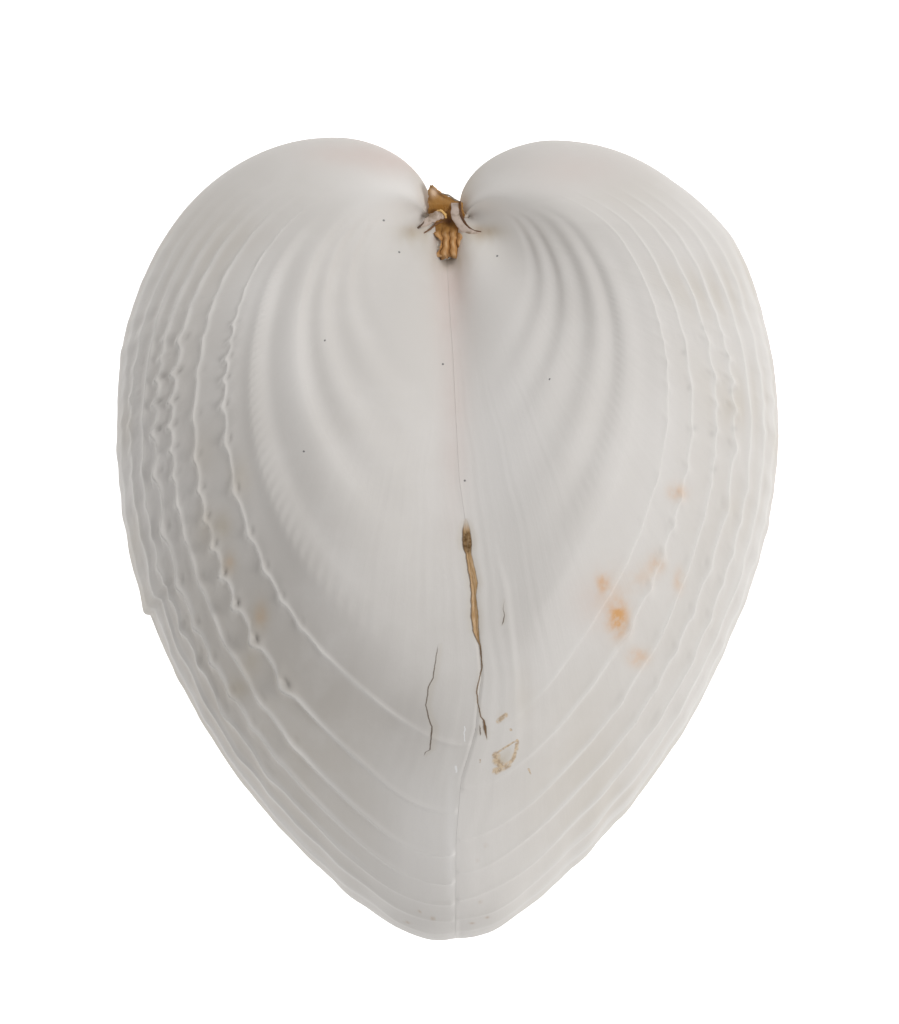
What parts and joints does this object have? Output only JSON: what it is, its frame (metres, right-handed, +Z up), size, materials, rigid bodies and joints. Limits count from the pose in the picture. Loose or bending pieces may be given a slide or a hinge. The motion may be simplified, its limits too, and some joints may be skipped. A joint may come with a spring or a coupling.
{
  "type": "heart cockle shell",
  "caption": "Closed heart-shaped cockle shell: ribbed white hollow valves, curled beaks and a dried brown ligament, lying on its domed back.",
  "frame": {"origin": "under the middle of the shell's bounding box, on the surface that it lies on", "axes": "+X to the right across both valves, +Y towards the beaks, +Z up, out of the heart-shaped face"},
  "size_m": [0.0412, 0.05, 0.0271],
  "materials": {
    "left_shell": "satin, chalky white with fine growth lines",
    "right_shell": "satin, chalky white with orange spots",
    "horn": "dry, cracked, horny brown"
  },
  "bodies": {
    "root": {"left_valve": "left_shell", "right_valve": "right_shell", "ligament": "horn"}
  },
  "joints": []
}
